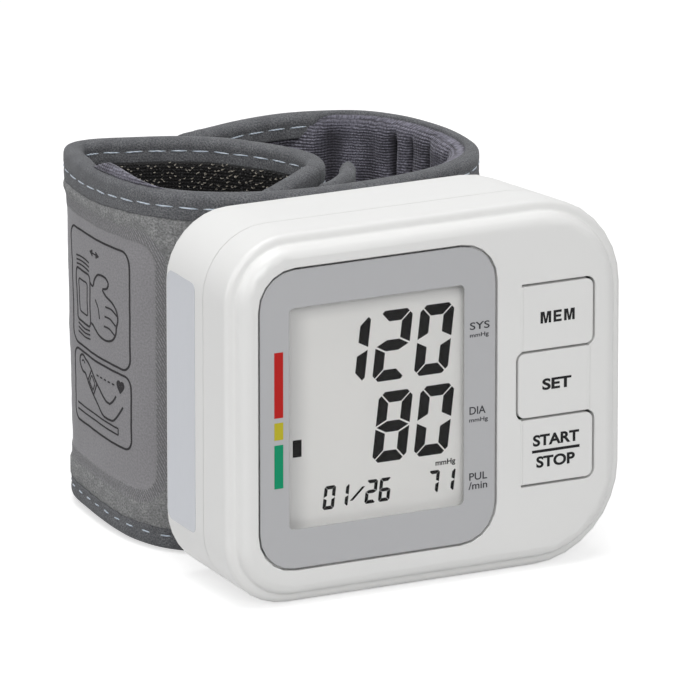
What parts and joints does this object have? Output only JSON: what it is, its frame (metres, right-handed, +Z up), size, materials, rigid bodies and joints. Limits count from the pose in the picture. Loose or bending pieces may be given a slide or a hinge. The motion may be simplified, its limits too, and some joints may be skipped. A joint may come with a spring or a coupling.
{
  "type": "wrist blood pressure monitor",
  "caption": "Compact white wrist blood pressure monitor with a display, side buttons and a battery door, on a sprung grey fabric wrap cuff with a curled hook-and-loop tail.",
  "frame": {"origin": "under the middle of the whole monitor, on the surface that it stands on", "axes": "+X to the right seen from the display side, +Y from the display towards the cuff, +Z up"},
  "size_m": [0.078, 0.0816, 0.0668],
  "materials": {
    "white_plastic": "glossy white",
    "lens_plastic": "glossy silver grey with a clear window",
    "lcd_glass": "satin grey",
    "dark_plastic": "matte black",
    "green_board": "solder mask",
    "black_rubber": "matte",
    "silicone": "satin translucent",
    "steel": "bright",
    "cell_wrap": "printed film",
    "loop_fabric": "brushed loop",
    "knit_fabric": "ribbed knit",
    "binding_fabric": "woven tape",
    "hook_fabric": "hook tape",
    "bladder_film": "welded film"
  },
  "bodies": {
    "housing": {"front_cover": "white_plastic", "rear_cover": "white_plastic", "display_lens": "lens_plastic", "lcd_panel": "lcd_glass", "lcd_frame": "dark_plastic", "zebra_strip": "black_rubber", "main_board": "green_board", "mem_switch": "dark_plastic", "set_switch": "dark_plastic", "start_stop_switch": "dark_plastic", "case_screw_1": "steel", "case_screw_2": "steel", "case_screw_3": "steel", "case_screw_4": "steel", "battery_cell_inner": "cell_wrap", "battery_cell_outer": "cell_wrap", "contact_bridge": "steel", "contact_negative": "steel", "contact_positive": "steel", "spring_bridge": "steel", "spring_negative": "steel", "pump_motor": "steel", "pump_head": "dark_plastic", "release_valve": "dark_plastic", "air_manifold": "dark_plastic", "pressure_sensor": "dark_plastic", "buzzer": "dark_plastic", "pump_tube": "silicone", "cuff_tube": "silicone", "valve_tube": "silicone", "sensor_tube": "silicone", "air_port": "dark_plastic", "port_seal": "black_rubber", "cuff_bracket": "dark_plastic", "cuff_center_shell": "loop_fabric", "cuff_center_liner": "knit_fabric", "air_bladder": "bladder_film", "cuff_center_binding_top": "binding_fabric", "cuff_center_binding_bottom": "binding_fabric", "liner_tab": "binding_fabric"},
    "mem_button": {"mem_button": "white_plastic"},
    "set_button": {"set_button": "white_plastic"},
    "start_stop_button": {"start_stop_button": "white_plastic"},
    "mem_plunger": {"mem_plunger": "dark_plastic"},
    "set_plunger": {"set_plunger": "dark_plastic"},
    "start_stop_plunger": {"start_stop_plunger": "dark_plastic"},
    "battery_door": {"battery_door": "white_plastic"},
    "cuff_wing": {"cuff_wing_shell": "loop_fabric", "cuff_wing_liner": "knit_fabric", "bladder_lobe": "bladder_film", "wing_stiffener": "dark_plastic", "cuff_wing_binding_top": "binding_fabric", "cuff_wing_binding_bottom": "binding_fabric"},
    "cuff_tail": {"cuff_tail_shell": "loop_fabric", "cuff_tail_liner": "knit_fabric", "hook_patch": "hook_fabric", "cuff_tail_binding_top": "binding_fabric", "cuff_tail_binding_bottom": "binding_fabric"}
  },
  "joints": [
    {"name": "mem_press", "type": "hinge", "parent": "housing", "child": "mem_button", "pos_m": [0.01805, -0.04078, 0.04618], "axis": [0, 0, 1], "range_deg": [0, 2.6], "stiffness_Nm_per_rad": 0.15},
    {"name": "set_press", "type": "hinge", "parent": "housing", "child": "set_button", "pos_m": [0.03133, -0.04078, 0.03398], "axis": [0, 0, -1], "range_deg": [0, 2.6], "stiffness_Nm_per_rad": 0.15},
    {"name": "start_stop_press", "type": "hinge", "parent": "housing", "child": "start_stop_button", "pos_m": [0.01805, -0.04078, 0.02178], "axis": [0, 0, 1], "range_deg": [0, 2.6], "stiffness_Nm_per_rad": 0.15},
    {"name": "mem_plunger_slide", "type": "slide", "parent": "housing", "child": "mem_plunger", "axis": [0, 1, 0], "range_m": [0, 0.0006]},
    {"name": "set_plunger_slide", "type": "slide", "parent": "housing", "child": "set_plunger", "axis": [0, 1, 0], "range_m": [0, 0.0006]},
    {"name": "start_stop_plunger_slide", "type": "slide", "parent": "housing", "child": "start_stop_plunger", "axis": [0, 1, 0], "range_m": [0, 0.0006]},
    {"name": "battery_door_slide", "type": "slide", "parent": "housing", "child": "battery_door", "axis": [1, 0, 0], "range_m": [0, 0.012]},
    {"name": "cuff_wing_flex", "type": "hinge", "parent": "housing", "child": "cuff_wing", "pos_m": [0.0282, -0.00349, 0.033], "axis": [0, 0, -1], "range_deg": [0, 60], "stiffness_Nm_per_rad": 0.05},
    {"name": "cuff_tail_flex", "type": "hinge", "parent": "housing", "child": "cuff_tail", "pos_m": [-0.03062, -0.00138, 0.033], "axis": [0, 0, 1], "range_deg": [0, 60], "stiffness_Nm_per_rad": 0.05}
  ],
  "couplings": [
    {"joint": "mem_plunger_slide", "follows": "mem_press", "m_per_rad": 0.0114},
    {"joint": "set_plunger_slide", "follows": "set_press", "m_per_rad": 0.0114},
    {"joint": "start_stop_plunger_slide", "follows": "start_stop_press", "m_per_rad": 0.0114}
  ]
}
